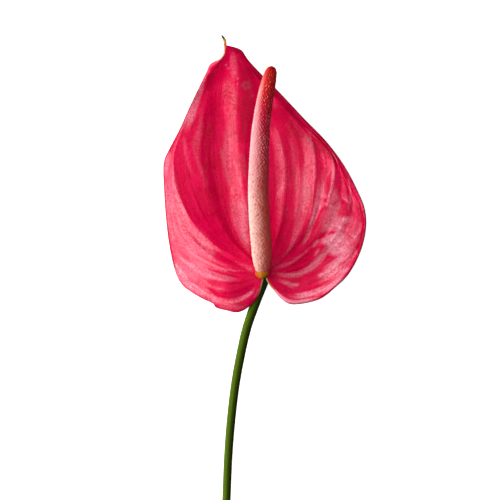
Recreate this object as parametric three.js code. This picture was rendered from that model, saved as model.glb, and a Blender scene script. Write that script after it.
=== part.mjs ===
// A cut anthurium, lying on its back: stem, spathe, spadix and the short neck that joins them.
// Millimetres, +Z up. The stem runs towards -Y, the spathe opens towards +Z and points towards +Y.
import * as THREE from 'three';

// Driving dimensions
const BLADE_THICKNESS = 0.9;
const BLADE_STEEPEST = 0.6; // least upward share of the surface's normal that thickens the blade
const NOTCH_RADIUS = 2.1; // clear room round the neck where the spathe is joined
const BLADE_ROWS = 42; // from the notch to the tip
const BLADE_SPLITS = [3, 4, 4, 3, 3, 3, 2, 3, 3, 4, 3]; // facets across each panel between two lines
const PANEL_DIPS = [0.3, 0.3, 0.4, 0, 0, 0, 0, 0.5, 0.4, 0.6, 0.2]; // how far the flesh sinks between two lines
const FULL_DIP_WIDTH = 8; // where two lines are nearer than this, the dip is shallower
const DIP_FADE = 0.8; // below 1, the dips keep their depth nearer to the notch and the tip
const GAP = 0.3; // between two pieces that touch
const SPADIX_FLORETS_ROUND = 12;
const SPADIX_FLORET_ROWS = 38;
const SPADIX_FLORET_HEIGHT = 0.5;
const FULL_FLORET_RADIUS = 4; // where the spadix is thinner than this, its florets are lower
const STEM_SIDES = 14;
const STEM_RINGS = 40;
const NECK_SIDES = 12;
const NECK_RINGS = 10;
const LINE_DIVISIONS = 600; // steps in which a line's length is measured
const PROFILE_SAMPLES = 400;

// The spathe is a smooth sheet through lines that run from the notch to the tip: its margins, its
// veins and creases, which stand up, and the troughs on either side of the midrib.
const NOTCH = [7.1, -12.6, 11.2];
const TIP = [-12.35, 102.0, 11.8];
const LEFT_MARGIN = [
  [6.2, -17, 10.4], [4.2, -23, 9.3], [-0.6, -28.4, 9], [-6, -31.1, 8.8], [-12, -30.1, 8],
  [-17.3, -28.5, 6.2], [-18.2, -27, 6.1], [-24, -24.2, 4.2], [-29.6, -20.9, 2.5], [-33.6, -17.8, 1.5],
  [-37, -12, 0.9], [-40.9, 6, 0.8], [-43.1, 32, 0.9], [-43, 44.5, 0.9], [-40.3, 50.6, 1.1],
  [-35, 60.8, 1.6], [-30, 72, 2.6], [-22, 88.3, 6], [-19.9, 92.6, 7.7], [-17.4, 94.2, 8.5],
  [-15, 95.4, 9], [-13.4, 98.2, 9.8],
];
const LEFT_LOBE_VEIN = [
  [2.5, -15, 10.6], [-5, -17, 10.8], [-12, -17.2, 10.9], [-18.5, -15.8, 9.6], [-25, -13.5, 7],
  [-32.5, -7.5, 3.9], [-37.5, 0, 2.3], [-40.3, 15, 1.7], [-41.3, 32, 1.7], [-41.2, 45, 1.4],
  [-38.7, 52.2, 1.4], [-34.2, 61.2, 1.9], [-29.4, 72.4, 2.7], [-21.5, 87.8, 6], [-17.4, 92.9, 8.4],
  [-13.1, 98.1, 9.8],
];
const LEFT_CREASE = [
  [1.35, -8.3, 10.7], [-8.75, -2.8, 10.2], [-19.75, 4.5, 9.3], [-28, 13, 7], [-33.5, 23, 5],
  [-37.1, 32, 3.5], [-37.9, 47, 2.4], [-33.2, 61.5, 2.5], [-28.6, 73, 2.9], [-21, 87, 5.9],
  [-15.8, 93.4, 8.6], [-12.9, 98, 9.9],
];
const LEFT_VEIN = [
  [1.8, -7, 10.1], [-5, -0.5, 9], [-11, 6, 7.6], [-18, 18, 5], [-21.8, 28.5, 3.8], [-24, 40.5, 3.1],
  [-24.7, 51.5, 3], [-24, 65, 2.7], [-20, 82, 3.8], [-14.8, 92.8, 7.6], [-12.7, 97.8, 9.9],
];
const LEFT_TROUGH = [
  [3.6, -6.5, 9.3], [-2.5, 0, 7.8], [-7.5, 6.5, 5.8], [-11.5, 20, 2], [-14, 34, -0.2],
  [-15.3, 50, -0.3], [-15.8, 65, 0.8], [-15.6, 76, 2.4], [-14, 85, 4.4], [-12.2, 91.2, 6.6],
  [-11.3, 97, 9.4],
];
const MIDRIB = [
  [6.2, -6, 9.2], [4.6, 2, 7.2], [1.2, 18, 3.8], [-2.2, 34, 2.2], [-4.4, 50, 1.8], [-5.3, 65, 2.3],
  [-5.4, 78, 4.1], [-6, 88, 6.5], [-7.4, 95, 8.8], [-9.2, 99.6, 10.4],
];
const RIGHT_TROUGH = [
  [8, -5, 8.8], [9.5, 4, 6.2], [10.3, 14, 3], [10.8, 26, 0.2], [10.4, 38, -0.4], [9.2, 50, -0.2],
  [7, 62, 1.2], [3.2, 76, 3.6], [-2.6, 90, 7], [-6, 97.2, 9.3],
];
const RIGHT_VEIN_1 = [
  [10, -4, 8.6], [14, 7.5, 5.6], [16.5, 17.5, 3.2], [18, 35, 1.6], [17.5, 45, 1.5], [15.5, 55, 1.6],
  [12.5, 65, 2.2], [8, 76, 3.4], [0, 90.5, 6.6], [-4.5, 97, 8.9],
];
const RIGHT_VEIN_2 = [
  [13.5, -4.8, 8.6], [19.9, 1.7, 6.8], [24.5, 7, 5.8], [28.7, 13.5, 5.2], [31.3, 22.5, 4.9],
  [32.7, 38.5, 4], [32.4, 46, 3.5], [29.8, 56, 3.3], [24.5, 62.7, 3.4], [16, 71.9, 3.8],
  [2.8, 87.3, 5.9], [-3.4, 95.9, 8.2],
];
const RIGHT_VEIN_3 = [
  [15.3, -8.6, 9.2], [21.4, -4.8, 7.8], [26.8, -0.6, 6.6], [31.4, 5.2, 6], [37.5, 19.3, 6.6],
  [42.2, 38, 5.6], [41, 46.5, 5], [36.7, 52.5, 4.1], [25.2, 64, 3.1], [17, 73, 3.5], [3.4, 87.7, 5.7],
  [-2.6, 95.6, 7.9],
];
const RIGHT_LOBE_VEIN = [
  [11, -14, 10.4], [20, -13.5, 9.2], [30, -11.5, 8.8], [42, -4.5, 10.4], [51, 3.5, 12], [55, 13, 11.2],
  [54.6, 21, 9.8], [51, 29.5, 8], [45.9, 39.5, 6.4], [42, 47.4, 5], [37.5, 53.2, 3.9],
  [26.1, 64.9, 2.8], [15.6, 76.5, 3.4], [4.1, 88.2, 5.5], [-1.9, 95.4, 7.7],
];
const RIGHT_MARGIN = [
  [9.1, -16.7, 10.8], [11.2, -19.4, 10.4], [15.6, -24.4, 9.8], [19.5, -26.9, 9.6], [25.5, -26.9, 9.8],
  [35.2, -24.3, 11.2], [42.9, -18.3, 13.4], [49, -12.2, 14], [55.3, -0.2, 13.4], [57.9, 12, 12.2],
  [57.1, 21, 10.8], [53.5, 30, 8.6], [47.2, 42, 6], [38.4, 54, 3.6], [27, 65.8, 2.5], [13, 80.6, 3.8],
  [4.8, 88.7, 5.3], [-1.2, 95.3, 7.5], [-4.1, 99.5, 9], [-8, 101.2, 10.8],
];
const BLADE_LINES = [
  LEFT_MARGIN, LEFT_LOBE_VEIN, LEFT_CREASE, LEFT_VEIN, LEFT_TROUGH, MIDRIB, RIGHT_TROUGH,
  RIGHT_VEIN_1, RIGHT_VEIN_2, RIGHT_VEIN_3, RIGHT_LOBE_VEIN, RIGHT_MARGIN,
];

// The curled point that the lines end in: its middle line, and how wide it is at its foot and its end
const TIP_POINT = [TIP, [-12.5, 104, 12.8], [-13.2, 105.6, 13.3], [-14.1, 107, 13.1]];
const TIP_POINT_WIDTHS = [1.4, 0.8];
const TIP_POINT_ROWS = 5;

// Stem, neck and spadix: their middle lines and radii
const STEM_LINE = [
  [-15.6, -312, 2.1], [-14, -230, 2.43], [-12.7, -160, 2.93], [-11.7, -123, 3.33], [-10.4, -96, 3.83],
  [-7.6, -69, 4.33], [-4.4, -51, 4.73], [-1.6, -39, 5], [1.6, -29.5, 5.4], [5.3, -20, 6.2],
  [7, -16, 7], [7.35, -14.6, 8.3],
];
const STEM_RADII = [2.13, 2.11, 2.09, 2.09, 2.15, 2.21, 2.25, 2.29, 2.33, 2.35, 2.25, 1.9];
const STEM_CUT_SLANT = 0.8; // how far the cut runs along the stem for each millimetre across it
const NECK_LINE = [[7.1, -12.7, 11.2], [6.75, -11.9, 13.2]]; // its ends meet the stem and the spadix squarely
const NECK_RADII = [1.8, 1.65, 1.35, 1.6, 3.6, 3.5];
const SPADIX_LINE = [
  [6.1, -10.4, 15], [6.05, -7.5, 15.8], [5.75, 1.5, 18.2], [4.65, 16.4, 22], [4.15, 29.8, 25.2],
  [4.55, 44.6, 28.8], [5.35, 59.4, 32.5], [7.4, 74.1, 36.4], [9.2, 82.9, 38.8], [11, 90.6, 41.1],
];
// distance from the foot of the spadix, and its radius there
const SPADIX_PROFILE = [
  [0, 3.1], [3, 4], [6.5, 4.65], [14, 5.1], [30, 5.1], [58, 4.8], [74, 4.35], [90, 3.8], [99, 3.3],
  [102.5, 2.7], [104.2, 1.7], [104.9, 0.5],
];

const STEM_FINISH = { color: 0x6f8a12, roughness: 0.45 };
const SPATHE_FINISH = { color: 0xd01a4a, roughness: 0.3 };
const NECK_FINISH = { color: 0xc08c22, roughness: 0.5 };
const SPADIX_FINISH = { color: 0xe2a596, roughness: 0.6 };

const vector = ([x, y, z]) => new THREE.Vector3(x, y, z);
const curveThrough = (points) => new THREE.CatmullRomCurve3(points.map(vector), false, 'centripetal');

function geometryOf(positions, indices) {
  const geometry = new THREE.BufferGeometry();
  geometry.setAttribute('position', new THREE.Float32BufferAttribute(positions, 3));
  geometry.setIndex(indices);
  return geometry;
}

// A closed solid through rings of points that are all of one length, with flat fans as its ends.
function loft(rings) {
  const sides = rings[0].length;
  const positions = rings.flat().flatMap((point) => point.toArray());
  const indices = [];
  for (let ring = 0; ring + 1 < rings.length; ring++) {
    for (let side = 0; side < sides; side++) {
      const here = ring * sides + side;
      const next = ring * sides + ((side + 1) % sides);
      indices.push(here, here + sides, next, next, here + sides, next + sides);
    }
  }
  for (const [ring, turned] of [[0, true], [rings.length - 1, false]]) {
    const centre = new THREE.Vector3();
    rings[ring].forEach((point) => centre.addScaledVector(point, 1 / sides));
    const middle = positions.length / 3;
    positions.push(...centre.toArray());
    for (let side = 0; side < sides; side++) {
      const here = ring * sides + side;
      const next = ring * sides + ((side + 1) % sides);
      indices.push(...(turned ? [here, next, middle] : [next, here, middle]));
    }
  }
  return geometryOf(positions, indices);
}

// Rings square to a middle line, at fractions of its length; radiusAt(fraction, side, ring) shapes them.
function ringsAlong(line, fractions, sides, radiusAt) {
  return fractions.map((fraction, ring) => {
    const centre = line.getPointAt(fraction);
    const along = line.getTangentAt(fraction);
    const right = new THREE.Vector3().crossVectors(along, new THREE.Vector3(0, 0, 1)).normalize();
    const up = new THREE.Vector3().crossVectors(right, along);
    return Array.from({ length: sides }, (_, side) => {
      const angle = (2 * Math.PI * side) / sides;
      const radius = radiusAt(fraction, side, ring);
      return centre.clone()
        .addScaledVector(right, -radius * Math.cos(angle))
        .addScaledVector(up, -radius * Math.sin(angle));
    });
  });
}

const evenFractions = (count) => Array.from({ length: count + 1 }, (_, index) => index / count);

// A smooth number at a fraction of a list of numbers that are spaced as the points of a line are.
function radiiAlong(line, radii) {
  const knots = radii.map((_, index) => index / (radii.length - 1));
  return (fraction) => {
    const place = line.getUtoTmapping(fraction);
    const last = knots.length - 2;
    const knot = Math.min(last, Math.floor(place * (knots.length - 1)));
    return THREE.MathUtils.lerp(radii[knot], radii[knot + 1], place * (knots.length - 1) - knot);
  };
}

// Where each column of the blade's grid stands: in its panel, and as a share between the left
// margin, 0, and the right margin, 1.
function bladeColumns() {
  const panels = BLADE_SPLITS.length;
  const starts = BLADE_SPLITS.flatMap((splits, panel) => Array.from({ length: splits }, (_, split) => (
    { panel, inPanel: split / splits, share: (panel + split / splits) / panels })));
  return [...starts, { panel: panels - 1, inPanel: 1, share: 1 }];
}

// The middle surface of the spathe: a grid of points, rows from the notch to the tip.
function bladeGrid() {
  const columns = bladeColumns();
  const atTipFoot = (share) => [TIP[0] + (share - 0.5) * TIP_POINT_WIDTHS[0], TIP[1], TIP[2]];
  const lines = BLADE_LINES.map((points, index) => curveThrough(
    [NOTCH, ...points, atTipFoot(index / (BLADE_LINES.length - 1))]));
  lines.forEach((line) => { line.arcLengthDivisions = LINE_DIVISIONS; });
  const starts = lines.map((line) => NOTCH_RADIUS / line.getLength());
  const grid = [];
  for (let row = 0; row <= BLADE_ROWS; row++) {
    const along = row / BLADE_ROWS;
    const ribs = lines.map((line, index) => line.getPointAt(starts[index] + (1 - starts[index]) * along));
    const across = new THREE.CatmullRomCurve3(ribs, false, 'centripetal');
    const depth = Math.sin(Math.PI * along) ** DIP_FADE;
    grid.push(columns.map(({ panel, inPanel, share }) => {
      const point = across.getPoint(share);
      const room = THREE.MathUtils.smoothstep(ribs[panel].distanceTo(ribs[panel + 1]), 0, FULL_DIP_WIDTH);
      point.z -= PANEL_DIPS[panel] * room * depth * Math.sin(Math.PI * inPanel);
      point.z = Math.max(point.z, BLADE_THICKNESS / 2);
      return point;
    }));
  }
  const tipLine = curveThrough(TIP_POINT);
  for (let row = 1; row <= TIP_POINT_ROWS; row++) {
    const along = row / TIP_POINT_ROWS;
    const centre = tipLine.getPointAt(along);
    const width = THREE.MathUtils.lerp(...TIP_POINT_WIDTHS, along);
    grid.push(columns.map(({ share }) => centre.clone().setX(centre.x + (share - 0.5) * width)));
  }
  return grid;
}

function spathe() {
  const grid = bladeGrid();
  const rows = grid.length;
  const columns = grid[0].length;
  const top = [];
  const bottom = [];
  for (let row = 0; row < rows; row++) {
    for (let column = 0; column < columns; column++) {
      const point = grid[row][column];
      const along = new THREE.Vector3().subVectors(
        grid[Math.min(row + 1, rows - 1)][column], grid[Math.max(row - 1, 0)][column]);
      const across = new THREE.Vector3().subVectors(
        grid[Math.min(row, rows - 2)][Math.min(column + 1, columns - 1)],
        grid[Math.min(row, rows - 2)][Math.max(column - 1, 0)]);
      const normal = across.cross(along).normalize();
      const half = BLADE_THICKNESS / 2 / Math.max(Math.abs(normal.z), BLADE_STEEPEST);
      top.push(point.x, point.y, point.z + half);
      bottom.push(point.x, point.y, Math.max(point.z - half, 0));
    }
  }
  const under = rows * columns;
  const indices = [];
  for (let row = 0; row + 1 < rows; row++) {
    for (let column = 0; column + 1 < columns; column++) {
      const a = row * columns + column;
      const [b, c, d] = [a + 1, a + columns + 1, a + columns];
      indices.push(a, b, c, a, c, d);
      indices.push(under + a, under + c, under + b, under + a, under + d, under + c);
    }
  }
  const rim = [];
  for (let column = 0; column + 1 < columns; column++) rim.push(column);
  for (let row = 0; row + 1 < rows; row++) rim.push(row * columns + columns - 1);
  for (let column = columns - 1; column > 0; column--) rim.push((rows - 1) * columns + column);
  for (let row = rows - 1; row > 0; row--) rim.push(row * columns);
  rim.forEach((a, index) => {
    const b = rim[(index + 1) % rim.length];
    indices.push(a, under + a, b, b, under + a, under + b);
  });
  return geometryOf([...top, ...bottom], indices);
}

function stem() {
  const line = curveThrough(STEM_LINE);
  const radius = radiiAlong(line, STEM_RADII);
  const rings = ringsAlong(line, evenFractions(STEM_RINGS), STEM_SIDES, radius);
  const middle = line.getPointAt(0);
  rings[0].forEach((point) => { point.y += STEM_CUT_SLANT * (point.z - middle.z); });
  return loft(rings);
}

// A point on the middle line of a piece's end face, moved off that face along the line.
function beyondEnd(points, fraction, distance) {
  const line = curveThrough(points);
  return line.getPointAt(fraction).addScaledVector(line.getTangentAt(fraction), distance).toArray();
}

function neck() {
  const line = curveThrough([
    beyondEnd(STEM_LINE, 1, GAP), beyondEnd(STEM_LINE, 1, 3 * GAP),
    ...NECK_LINE,
    beyondEnd(SPADIX_LINE, 0, -3 * GAP), beyondEnd(SPADIX_LINE, 0, -GAP),
  ]);
  return loft(ringsAlong(line, evenFractions(NECK_RINGS), NECK_SIDES, radiiAlong(line, NECK_RADII)));
}

// The florets are low knobs in rings that stand in the gaps of the ring before.
function spadix() {
  const profile = new THREE.CatmullRomCurve3(
    SPADIX_PROFILE.map(([distance, radius]) => new THREE.Vector3(distance, radius, 0)), false, 'centripetal');
  const samples = profile.getPoints(PROFILE_SAMPLES);
  const radiusAt = (fraction) => {
    const distance = fraction * samples.at(-1).x;
    const next = Math.max(1, samples.findIndex((sample) => sample.x >= distance));
    const [a, b] = [samples[next - 1], samples[next]];
    return THREE.MathUtils.mapLinear(distance, a.x, b.x, a.y, b.y);
  };
  const rows = 2 * SPADIX_FLORET_ROWS;
  const sides = 2 * SPADIX_FLORETS_ROUND;
  return loft(ringsAlong(curveThrough(SPADIX_LINE), evenFractions(rows), sides, (fraction, side, ring) => {
    const onKnob = (side + ring) % 2 === 0 && ring > 0 && ring < rows;
    const radius = radiusAt(fraction);
    return onKnob ? radius : radius - SPADIX_FLORET_HEIGHT * Math.min(1, radius / FULL_FLORET_RADIUS);
  }));
}

const flower = new THREE.Group();
for (const [name, geometry, finish] of [
  ['stem', stem(), STEM_FINISH],
  ['spathe', spathe(), SPATHE_FINISH],
  ['spadix_stipe', neck(), NECK_FINISH],
  ['spadix', spadix(), SPADIX_FINISH],
]) {
  const mesh = new THREE.Mesh(geometry, new THREE.MeshStandardMaterial({ ...finish, metalness: 0 }));
  mesh.name = name;
  flower.add(mesh);
}

// The origin is under the middle of the whole flower, on the surface that it lies on.
const box = new THREE.Box3().setFromObject(flower);
const middle = box.getCenter(new THREE.Vector3());
flower.position.set(-middle.x, -middle.y, -box.min.z);

export default new THREE.Group().add(flower);
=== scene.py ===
"""A cut anthurium lying on its back: the looks of the spathe, the spadix, the neck and the stem."""

import bmesh
import bpy
import numpy as np
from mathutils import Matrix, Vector


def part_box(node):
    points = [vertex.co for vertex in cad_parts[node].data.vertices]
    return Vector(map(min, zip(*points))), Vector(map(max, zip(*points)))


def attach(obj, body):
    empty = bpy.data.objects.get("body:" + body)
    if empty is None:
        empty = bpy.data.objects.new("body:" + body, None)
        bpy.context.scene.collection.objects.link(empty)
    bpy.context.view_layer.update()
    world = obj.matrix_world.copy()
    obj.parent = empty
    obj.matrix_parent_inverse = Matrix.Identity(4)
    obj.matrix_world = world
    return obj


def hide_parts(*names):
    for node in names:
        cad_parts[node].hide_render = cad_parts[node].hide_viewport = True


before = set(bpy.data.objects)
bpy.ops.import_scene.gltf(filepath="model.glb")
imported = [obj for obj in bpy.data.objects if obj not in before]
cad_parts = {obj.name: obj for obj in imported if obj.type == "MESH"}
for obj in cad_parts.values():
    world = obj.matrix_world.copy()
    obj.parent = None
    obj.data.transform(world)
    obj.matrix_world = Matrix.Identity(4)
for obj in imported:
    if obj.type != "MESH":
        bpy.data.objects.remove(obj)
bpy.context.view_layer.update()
MM = 0.001

# The spathe is a smooth sheet through lines from the notch to the tip, in millimetres. These
# lines, and the middle lines of the neck, the spadix and the stem, are those of the frame.
NOTCH = (7.1, -12.6, 11.2)
NOTCH_RADIUS = 1.2
TIP = (-12.35, 102.0, 11.8)
LEFT_MARGIN = (
    (6.2, -17, 10.4), (4.2, -23, 9.3), (-0.6, -28.4, 9), (-6, -31.1, 8.8), (-12, -30.1, 8),
    (-17.3, -28.5, 6.2), (-18.2, -27, 6.1), (-24, -24.2, 4.2), (-29.6, -20.9, 2.5),
    (-33.6, -17.8, 1.5), (-37, -12, 0.9), (-40.9, 6, 0.8), (-43.1, 32, 0.9), (-43, 44.5, 0.9),
    (-40.3, 50.6, 1.1), (-35, 60.8, 1.6), (-30, 72, 2.6), (-22, 88.3, 6), (-19.9, 92.6, 7.7),
    (-17.4, 94.2, 8.5), (-15, 95.4, 9), (-13.4, 98.2, 9.8),
)
LEFT_LOBE_VEIN = (
    (2.5, -15, 10.6), (-5, -17, 10.8), (-12, -17.2, 10.9), (-18.5, -15.8, 9.6), (-25, -13.5, 7),
    (-32.5, -7.5, 3.9), (-37.5, 0, 2.3), (-40.3, 15, 1.7), (-41.3, 32, 1.7), (-41.2, 45, 1.4),
    (-38.7, 52.2, 1.4), (-34.2, 61.2, 1.9), (-29.4, 72.4, 2.7), (-21.5, 87.8, 6), (-17.4, 92.9, 8.4),
    (-13.1, 98.1, 9.8),
)
LEFT_CREASE = (
    (1.35, -8.3, 10.7), (-8.75, -2.8, 10.2), (-19.75, 4.5, 9.3), (-28, 13, 7), (-33.5, 23, 5),
    (-37.1, 32, 3.5), (-37.9, 47, 2.4), (-33.2, 61.5, 2.5), (-28.6, 73, 2.9), (-21, 87, 5.9),
    (-15.8, 93.4, 8.6), (-12.9, 98, 9.9),
)
LEFT_VEIN = (
    (1.8, -7, 10.1), (-5, -0.5, 9), (-11, 6, 7.6), (-18, 18, 5), (-21.8, 28.5, 3.8), (-24, 40.5, 3.1),
    (-24.7, 51.5, 3), (-24, 65, 2.7), (-20, 82, 3.8), (-14.8, 92.8, 7.6), (-12.7, 97.8, 9.9),
)
LEFT_TROUGH = (
    (3.6, -6.5, 9.3), (-2.5, 0, 7.8), (-7.5, 6.5, 5.8), (-11.5, 20, 2), (-14, 34, -0.2),
    (-15.3, 50, -0.3), (-15.8, 65, 0.8), (-15.6, 76, 2.4), (-14, 85, 4.4), (-12.2, 91.2, 6.6),
    (-11.3, 97, 9.4),
)
MIDRIB = (
    (6.2, -6, 9.2), (4.6, 2, 7.2), (1.2, 18, 3.8), (-2.2, 34, 2.2), (-4.4, 50, 1.8), (-5.3, 65, 2.3),
    (-5.4, 78, 4.1), (-6, 88, 6.5), (-7.4, 95, 8.8), (-9.2, 99.6, 10.4),
)
RIGHT_TROUGH = (
    (8, -5, 8.8), (9.5, 4, 6.2), (10.3, 14, 3), (10.8, 26, 0.2), (10.4, 38, -0.4), (9.2, 50, -0.2),
    (7, 62, 1.2), (3.2, 76, 3.6), (-2.6, 90, 7), (-6, 97.2, 9.3),
)
RIGHT_VEIN_1 = (
    (10, -4, 8.6), (14, 7.5, 5.6), (16.5, 17.5, 3.2), (18, 35, 1.6), (17.5, 45, 1.5), (15.5, 55, 1.6),
    (12.5, 65, 2.2), (8, 76, 3.4), (0, 90.5, 6.6), (-4.5, 97, 8.9),
)
RIGHT_VEIN_2 = (
    (13.5, -4.8, 8.6), (19.9, 1.7, 6.8), (24.5, 7, 5.8), (28.7, 13.5, 5.2), (31.3, 22.5, 4.9),
    (32.7, 38.5, 4), (32.4, 46, 3.5), (29.8, 56, 3.3), (24.5, 62.7, 3.4), (16, 71.9, 3.8),
    (2.8, 87.3, 5.9), (-3.4, 95.9, 8.2),
)
RIGHT_VEIN_3 = (
    (15.3, -8.6, 9.2), (21.4, -4.8, 7.8), (26.8, -0.6, 6.6), (31.4, 5.2, 6), (37.5, 19.3, 6.6),
    (42.2, 38, 5.6), (41, 46.5, 5), (36.7, 52.5, 4.1), (25.2, 64, 3.1), (17, 73, 3.5),
    (3.4, 87.7, 5.7), (-2.6, 95.6, 7.9),
)
RIGHT_LOBE_VEIN = (
    (11, -14, 10.4), (20, -13.5, 9.2), (30, -11.5, 8.8), (42, -4.5, 10.4), (51, 3.5, 12),
    (55, 13, 11.2), (54.6, 21, 9.8), (51, 29.5, 8), (45.9, 39.5, 6.4), (42, 47.4, 5),
    (37.5, 53.2, 3.9), (26.1, 64.9, 2.8), (15.6, 76.5, 3.4), (4.1, 88.2, 5.5), (-1.9, 95.4, 7.7),
)
RIGHT_MARGIN = (
    (9.1, -16.7, 10.8), (11.2, -19.4, 10.4), (15.6, -24.4, 9.8), (19.5, -26.9, 9.6), (25.5, -26.9, 9.8),
    (35.2, -24.3, 11.2), (42.9, -18.3, 13.4), (49, -12.2, 14), (55.3, -0.2, 13.4), (57.9, 12, 12.2),
    (57.1, 21, 10.8), (53.5, 30, 8.6), (47.2, 42, 6), (38.4, 54, 3.6), (27, 65.8, 2.5), (13, 80.6, 3.8),
    (4.8, 88.7, 5.3), (-1.2, 95.3, 7.5), (-4.1, 99.5, 9), (-8, 101.2, 10.8),
)
BLADE_LINES = (
    LEFT_MARGIN, LEFT_LOBE_VEIN, LEFT_CREASE, LEFT_VEIN, LEFT_TROUGH, MIDRIB, RIGHT_TROUGH,
    RIGHT_VEIN_1, RIGHT_VEIN_2, RIGHT_VEIN_3, RIGHT_LOBE_VEIN, RIGHT_MARGIN,
)
PANELS = len(BLADE_LINES) - 1
# How far the sheet dips between two lines, where they are FULL_DIP_WIDTH apart
PANEL_DIPS = (0.3, 0.3, 0.4, 0, 0, 0, 0, 0.5, 0.4, 0.6, 0.2)
FULL_DIP_WIDTH = 8
DIP_POWER = 0.8
TIP_POINT = (TIP, (-12.5, 104, 12.8), (-13.2, 105.6, 13.3), (-14.1, 107, 13.1))
TIP_POINT_WIDTH = 1.4
# The sheet's middle stays this far above the floor, which it nears softly
FLOOR_CLEARANCE = 0.45
FLOOR_SOFTNESS = 0.5

STEM_LINE = (
    (-15.6, -312, 2.1), (-14, -230, 2.43), (-12.7, -160, 2.93), (-11.7, -123, 3.33),
    (-10.4, -96, 3.83), (-7.6, -69, 4.33), (-4.4, -51, 4.73), (-1.6, -39, 5), (1.6, -29.5, 5.4),
    (5.3, -20, 6.2), (7, -16, 7), (7.35, -14.6, 8.3),
)
STEM_RADII = (2.13, 2.11, 2.09, 2.09, 2.15, 2.21, 2.25, 2.29, 2.33, 2.35, 2.25, 1.9)
STEM_CUT_SLANT = 0.8
NECK_LINE = ((7.1, -12.7, 11.2), (6.75, -11.9, 13.2))
NECK_RADII = (1.8, 1.65, 1.35, 1.6, 3.6, 3.5)
# The spadix: its middle line, and its radius at places along it
SPADIX_LINE = (
    (6.1, -10.4, 15), (6.05, -7.5, 15.8), (5.75, 1.5, 18.2), (4.65, 16.4, 22), (4.15, 29.8, 25.2),
    (4.55, 44.6, 28.8), (5.35, 59.4, 32.5), (7.4, 74.1, 36.4), (9.2, 82.9, 38.8), (11, 90.6, 41.1),
)
SPADIX_PROFILE = (
    (0, 3.1), (3, 4), (6.5, 4.65), (14, 5.1), (30, 5.1), (58, 4.8), (74, 4.35), (90, 3.8), (99, 3.3),
    (102.5, 2.7), (104.2, 1.7), (104.9, 0.5),
)

# What the frame leaves to this script, in millimetres unless it says otherwise
PANEL_COLUMNS = (14, 22, 20, 14, 14, 18, 10, 16, 16, 20, 12)
BLADE_ROWS = 262
TIP_POINT_ROWS = 12
TIP_POINT_SHARES = np.arange(1, TIP_POINT_ROWS + 1) / TIP_POINT_ROWS
SKIN_HALF = 0.4
RIM_HALF = 0.1
RIM_WIDTH = 0.7
# Where the sheet is steeper than this share, its skins are set no further apart
STEEPEST = 0.6
# The margins curl down by ROLL_DROP over the outermost ROLL_WIDTH
ROLL_DROP = 0.9
ROLL_WIDTH = 1.6
# The tip point's swelling and its taper, as shares of its width, and how flat it is
TIP_SWELL = 0.15
TIP_TAPER = 0.55
TIP_TAPER_POWER = 8
TIP_FLATNESS = 0.75
# Where the blade calms down, and where its lobes and its crinkles begin and end: places from the
# notch, 0, to the tip, 1, and for the crinkles also across, in panels
UPPER_CALM = 0.85
UPPER_BAND = (0.42, 0.65)
LOBE_START = (0.02, 0.1)
LOBE_END = (0.25, 0.5)
CRINKLE_START = (0.12, 0.25)
CRINKLE_END = (0.45, 0.62)
CRINKLE_PANELS = (8.3, 9.3)
# A painted shade line runs along the right margin, where it curls down, from this one of its
# points, and fades out between these two widths
BRINK_START = 8
BRINK_SAMPLES = 60
BRINK_WIDTH = (0.3, 1.1)
# The veins' rounding, the shares of the length over which they rise and die out, and the room
# beside them, or the width of a panel with folds, at which they begin and are full
VEIN_CREST = 0.25
VEIN_FADE = (0.06, 0.12)
VEIN_ROOM = (0.5, 5)
FOLD_ROOM = (0.5, 6)
# A brush stroke's pieces between two of its points, and the share of it that fades at each end
STROKE_PIECES = 3
STROKE_FADE = 0.28
FLORETS_ROUND = 17
FLORET_ROWS = 98
FLORET_RISE = 0.2
FLORET_TWIST = 5
CROWN_MEAN = 0.7
# The florets are flatter where the spadix's radius is under this
FULL_FLORET_RADIUS = 2.5
PROFILE_SAMPLES = 600
STIGMA_RISE = 0.18
LEAST_STIGMA = 0.4
STIGMA_EDGE = (0.6, 0.88)
# How the rows of florets waver, lengthwise and round: the size in rows, and the waves once round
# the spadix and along it
LENGTHWISE_WAVER = ((0.3, 3, 13), (0.25, 5, -29))
ROUND_WAVER = ((0.3, 2, 19), (0.25, 4, -37))
SEED = 7
SPADIX_RINGS = 521
SPADIX_COLUMNS = 181
STEM_RINGS = 401
STEM_COLUMNS = 49
# The stem's flutes: the depth as a share of the radius, the number and the turn of each wave.
# STEM_SKIN keeps the fluted stem above the floor.
STEM_FLUTES = ((0.012, 9, 0), (0.01, 4, 1))
STEM_SKIN = 0.985
STEM_SLANT_REACH = 12
NECK_SINK = 0.3
NECK_RINGS = 61
NECK_COLUMNS = 49
FLOOR_HALF = 6000
FLOOR_GLOW = 0.9
CAMERA_HEIGHT = 3000
VIEW_WIDTH = 250
SENSOR = 36
ROOM_LIGHT = 0.06
# Soft lights: the name, the place in metres from the flower's middle, the width, the height, the
# power, and True for a light that is seen in gloss alone, False for one that gloss never shows
LIGHTS = (
    ("key", (-1.5, 0.1, 0.87), 1.6, 2.4, 25, False),
    ("sheen", (-1.25, -0.25, 1.15), 1.2, 2.0, 25, True),
    ("glance", (-1.7, 0.05, 0.1), 0.9, 1.6, 38, False),
    ("fill", (-0.3, 0.2, 2.2), 2.0, 2.0, 24, False),
)

# Raised veins: the place across the blade in panels, the height, and how far the vein runs out
# on its left and on its right
FINE_VEINS = (
    (1.45, 0.1, 0.8, 0.4), (2, 0.3, 3, 1), (2.5, 0.12, 0.6, 0.4),
    (3, 0.2, 2, 0.9), (5, 0.12, 2, 1), (6.5, 0.1, 0.6, 0.5), (7, 0.4, 3.5, 0.9), (7.5, 0.15, 1.5, 0.6),
    (8, 0.4, 4, 0.8), (8.5, 0.12, 1, 0.5), (9, 0.4, 3, 0.7), (9.5, 0.08, 0.6, 0.4), (10, 0.08, 0.8, 0.5),
)
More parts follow.
